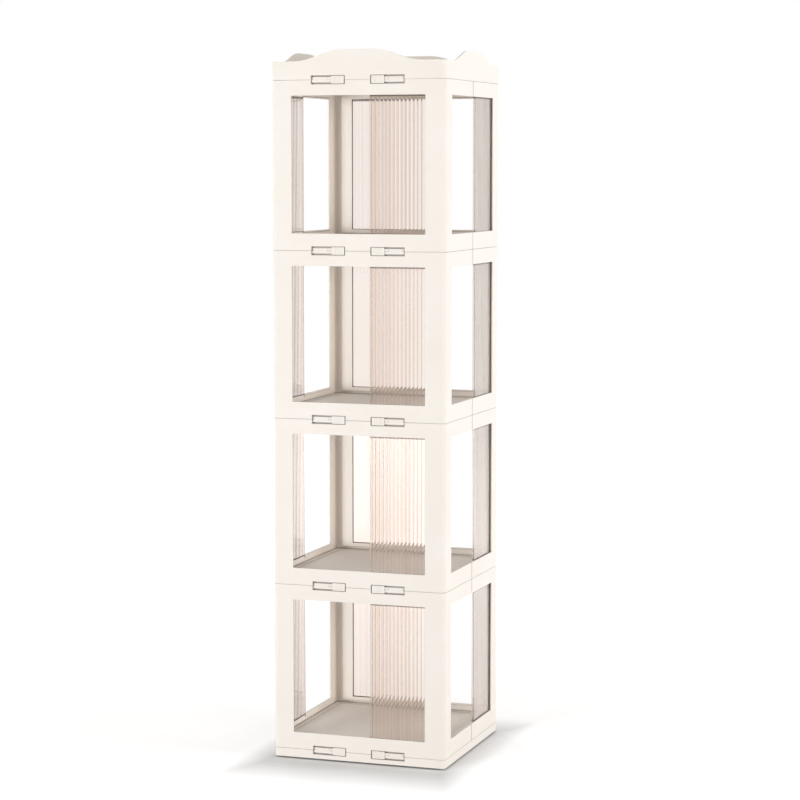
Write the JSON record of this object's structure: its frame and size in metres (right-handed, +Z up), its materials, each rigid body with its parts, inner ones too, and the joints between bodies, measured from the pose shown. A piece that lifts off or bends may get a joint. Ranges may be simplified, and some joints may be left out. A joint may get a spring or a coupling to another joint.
{
  "type": "rotating shelf unit",
  "caption": "Square shelf tower of stacked ivory plastic frames with reeded tea-coloured panels, sliding seam latches and a hidden turntable that lets the whole tower spin",
  "frame": {"origin": "on the floor, below the middle of the tower, on the turntable's axis", "axes": "+Z up along the tower, +X to the right seen from the front, +Y from the front face to the rear face"},
  "size_m": [0.34, 0.34, 1.335],
  "materials": {
    "ivory_plastic": "satin",
    "tea_clear_plastic": "clear, reeded outside",
    "zinc_steel": "zinc plated",
    "grey_rubber": "matt"
  },
  "bodies": {
    "floor_base": {"floor_plate": "zinc_steel", "foot_1": "grey_rubber", "foot_2": "grey_rubber", "foot_3": "grey_rubber", "foot_4": "grey_rubber", "pivot_bolt": "zinc_steel", "pivot_washer": "zinc_steel", "pivot_lock_nut": "zinc_steel"},
    "cage": {"ball_cage": "zinc_steel"},
    "tower": {"base_tray": "ivory_plastic", "upper_race": "zinc_steel", "top_tray": "ivory_plastic", "storey_1_front_shell": "ivory_plastic", "storey_1_rear_shell": "ivory_plastic", "storey_1_shelf_board": "ivory_plastic", "storey_1_front_panel": "tea_clear_plastic", "storey_1_right_panel": "tea_clear_plastic", "storey_1_rear_panel": "tea_clear_plastic", "storey_1_left_panel": "tea_clear_plastic", "storey_2_front_shell": "ivory_plastic", "storey_2_rear_shell": "ivory_plastic", "storey_2_shelf_board": "ivory_plastic", "storey_2_front_panel": "tea_clear_plastic", "storey_2_right_panel": "tea_clear_plastic", "storey_2_rear_panel": "tea_clear_plastic", "storey_2_left_panel": "tea_clear_plastic", "storey_3_front_shell": "ivory_plastic", "storey_3_rear_shell": "ivory_plastic", "storey_3_shelf_board": "ivory_plastic", "storey_3_front_panel": "tea_clear_plastic", "storey_3_right_panel": "tea_clear_plastic", "storey_3_rear_panel": "tea_clear_plastic", "storey_3_left_panel": "tea_clear_plastic", "storey_4_front_shell": "ivory_plastic", "storey_4_rear_shell": "ivory_plastic", "storey_4_shelf_board": "ivory_plastic", "storey_4_front_panel": "tea_clear_plastic", "storey_4_right_panel": "tea_clear_plastic", "storey_4_rear_panel": "tea_clear_plastic", "storey_4_left_panel": "tea_clear_plastic"},
    "slider_0_front_left": {"latch_0_front_left": "ivory_plastic"},
    "slider_0_front_right": {"latch_0_front_right": "ivory_plastic"},
    "slider_0_rear_left": {"latch_0_rear_left": "ivory_plastic"},
    "slider_0_rear_right": {"latch_0_rear_right": "ivory_plastic"},
    "slider_1_front_left": {"latch_1_front_left": "ivory_plastic"},
    "slider_1_front_right": {"latch_1_front_right": "ivory_plastic"},
    "slider_1_rear_left": {"latch_1_rear_left": "ivory_plastic"},
    "slider_1_rear_right": {"latch_1_rear_right": "ivory_plastic"},
    "slider_2_front_left": {"latch_2_front_left": "ivory_plastic"},
    "slider_2_front_right": {"latch_2_front_right": "ivory_plastic"},
    "slider_2_rear_left": {"latch_2_rear_left": "ivory_plastic"},
    "slider_2_rear_right": {"latch_2_rear_right": "ivory_plastic"},
    "slider_3_front_left": {"latch_3_front_left": "ivory_plastic"},
    "slider_3_front_right": {"latch_3_front_right": "ivory_plastic"},
    "slider_3_rear_left": {"latch_3_rear_left": "ivory_plastic"},
    "slider_3_rear_right": {"latch_3_rear_right": "ivory_plastic"},
    "slider_4_front_left": {"latch_4_front_left": "ivory_plastic"},
    "slider_4_front_right": {"latch_4_front_right": "ivory_plastic"},
    "slider_4_rear_left": {"latch_4_rear_left": "ivory_plastic"},
    "slider_4_rear_right": {"latch_4_rear_right": "ivory_plastic"}
  },
  "joints": [
    {"name": "tower_spin", "type": "hinge", "parent": "floor_base", "child": "tower", "pos_m": [0, 0, 0], "axis": [0, 0, 1], "continuous": true},
    {"name": "cage_spin", "type": "hinge", "parent": "floor_base", "child": "cage", "pos_m": [0, 0, 0], "axis": [0, 0, 1], "continuous": true},
    {"name": "latch_0_front_left_slide", "type": "slide", "parent": "tower", "child": "slider_0_front_left", "axis": [-1, 0, 0], "range_m": [0, 0.0379]},
    {"name": "latch_0_front_right_slide", "type": "slide", "parent": "tower", "child": "slider_0_front_right", "axis": [1, 0, 0], "range_m": [0, 0.0379]},
    {"name": "latch_0_rear_left_slide", "type": "slide", "parent": "tower", "child": "slider_0_rear_left", "axis": [-1, 0, 0], "range_m": [0, 0.0379]},
    {"name": "latch_0_rear_right_slide", "type": "slide", "parent": "tower", "child": "slider_0_rear_right", "axis": [1, 0, 0], "range_m": [0, 0.0379]},
    {"name": "latch_1_front_left_slide", "type": "slide", "parent": "tower", "child": "slider_1_front_left", "axis": [-1, 0, 0], "range_m": [0, 0.0379]},
    {"name": "latch_1_front_right_slide", "type": "slide", "parent": "tower", "child": "slider_1_front_right", "axis": [1, 0, 0], "range_m": [0, 0.0379]},
    {"name": "latch_1_rear_left_slide", "type": "slide", "parent": "tower", "child": "slider_1_rear_left", "axis": [-1, 0, 0], "range_m": [0, 0.0379]},
    {"name": "latch_1_rear_right_slide", "type": "slide", "parent": "tower", "child": "slider_1_rear_right", "axis": [1, 0, 0], "range_m": [0, 0.0379]},
    {"name": "latch_2_front_left_slide", "type": "slide", "parent": "tower", "child": "slider_2_front_left", "axis": [-1, 0, 0], "range_m": [0, 0.0379]},
    {"name": "latch_2_front_right_slide", "type": "slide", "parent": "tower", "child": "slider_2_front_right", "axis": [1, 0, 0], "range_m": [0, 0.0379]},
    {"name": "latch_2_rear_left_slide", "type": "slide", "parent": "tower", "child": "slider_2_rear_left", "axis": [-1, 0, 0], "range_m": [0, 0.0379]},
    {"name": "latch_2_rear_right_slide", "type": "slide", "parent": "tower", "child": "slider_2_rear_right", "axis": [1, 0, 0], "range_m": [0, 0.0379]},
    {"name": "latch_3_front_left_slide", "type": "slide", "parent": "tower", "child": "slider_3_front_left", "axis": [-1, 0, 0], "range_m": [0, 0.0379]},
    {"name": "latch_3_front_right_slide", "type": "slide", "parent": "tower", "child": "slider_3_front_right", "axis": [1, 0, 0], "range_m": [0, 0.0379]},
    {"name": "latch_3_rear_left_slide", "type": "slide", "parent": "tower", "child": "slider_3_rear_left", "axis": [-1, 0, 0], "range_m": [0, 0.0379]},
    {"name": "latch_3_rear_right_slide", "type": "slide", "parent": "tower", "child": "slider_3_rear_right", "axis": [1, 0, 0], "range_m": [0, 0.0379]},
    {"name": "latch_4_front_left_slide", "type": "slide", "parent": "tower", "child": "slider_4_front_left", "axis": [-1, 0, 0], "range_m": [0, 0.0379]},
    {"name": "latch_4_front_right_slide", "type": "slide", "parent": "tower", "child": "slider_4_front_right", "axis": [1, 0, 0], "range_m": [0, 0.0379]},
    {"name": "latch_4_rear_left_slide", "type": "slide", "parent": "tower", "child": "slider_4_rear_left", "axis": [-1, 0, 0], "range_m": [0, 0.0379]},
    {"name": "latch_4_rear_right_slide", "type": "slide", "parent": "tower", "child": "slider_4_rear_right", "axis": [1, 0, 0], "range_m": [0, 0.0379]}
  ],
  "couplings": [
    {"joint": "cage_spin", "follows": "tower_spin", "ratio": 0.5}
  ]
}
